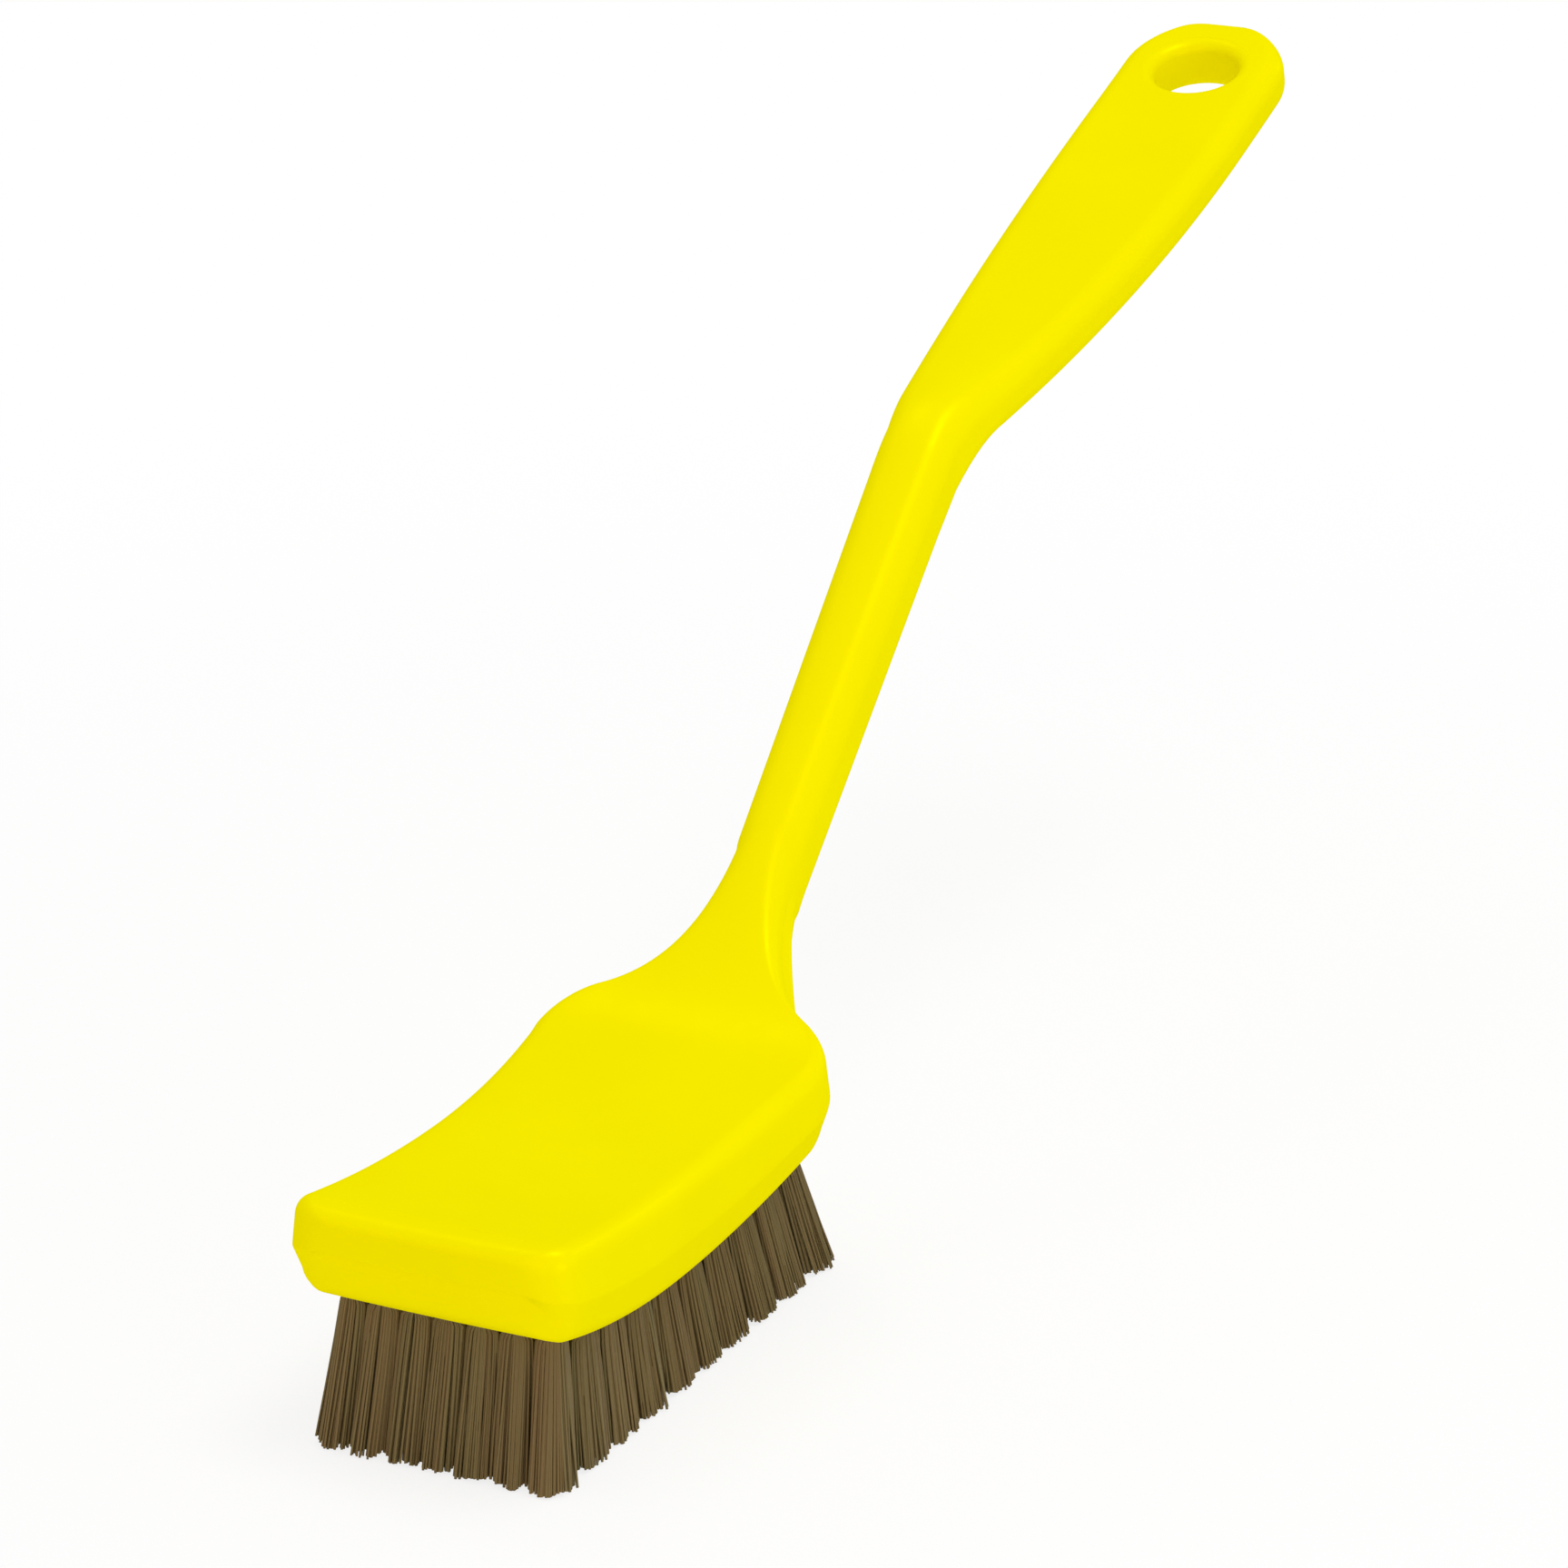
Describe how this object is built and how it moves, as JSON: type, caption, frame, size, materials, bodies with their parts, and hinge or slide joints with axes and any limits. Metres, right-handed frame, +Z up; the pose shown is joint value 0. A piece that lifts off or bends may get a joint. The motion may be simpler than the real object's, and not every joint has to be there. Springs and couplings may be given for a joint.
{
  "type": "dish brush",
  "caption": "Long-handled dish brush: a dished block with rows of stiff bristle tufts, a cranked handle and a flat grip with a hanging hole.",
  "frame": {"origin": "middle of the bounding box's base, on the plane of the trimmed bristle tips", "axes": "+X along the brush from the block to the end of the grip, +Y across it, +Z up from the bristle tips"},
  "size_m": [0.2738, 0.0452, 0.142],
  "materials": {
    "body": "satin moulded polypropylene",
    "bristle": "stiff crimped polyester filament"
  },
  "bodies": {
    "root": {"moulded_body": "body", "tuft_row_01": "bristle", "tuft_row_02": "bristle", "tuft_row_03": "bristle", "tuft_row_04": "bristle", "tuft_row_05": "bristle", "tuft_row_06": "bristle", "tuft_row_07": "bristle", "tuft_row_08": "bristle", "tuft_row_09": "bristle", "tuft_row_10": "bristle"}
  },
  "joints": []
}
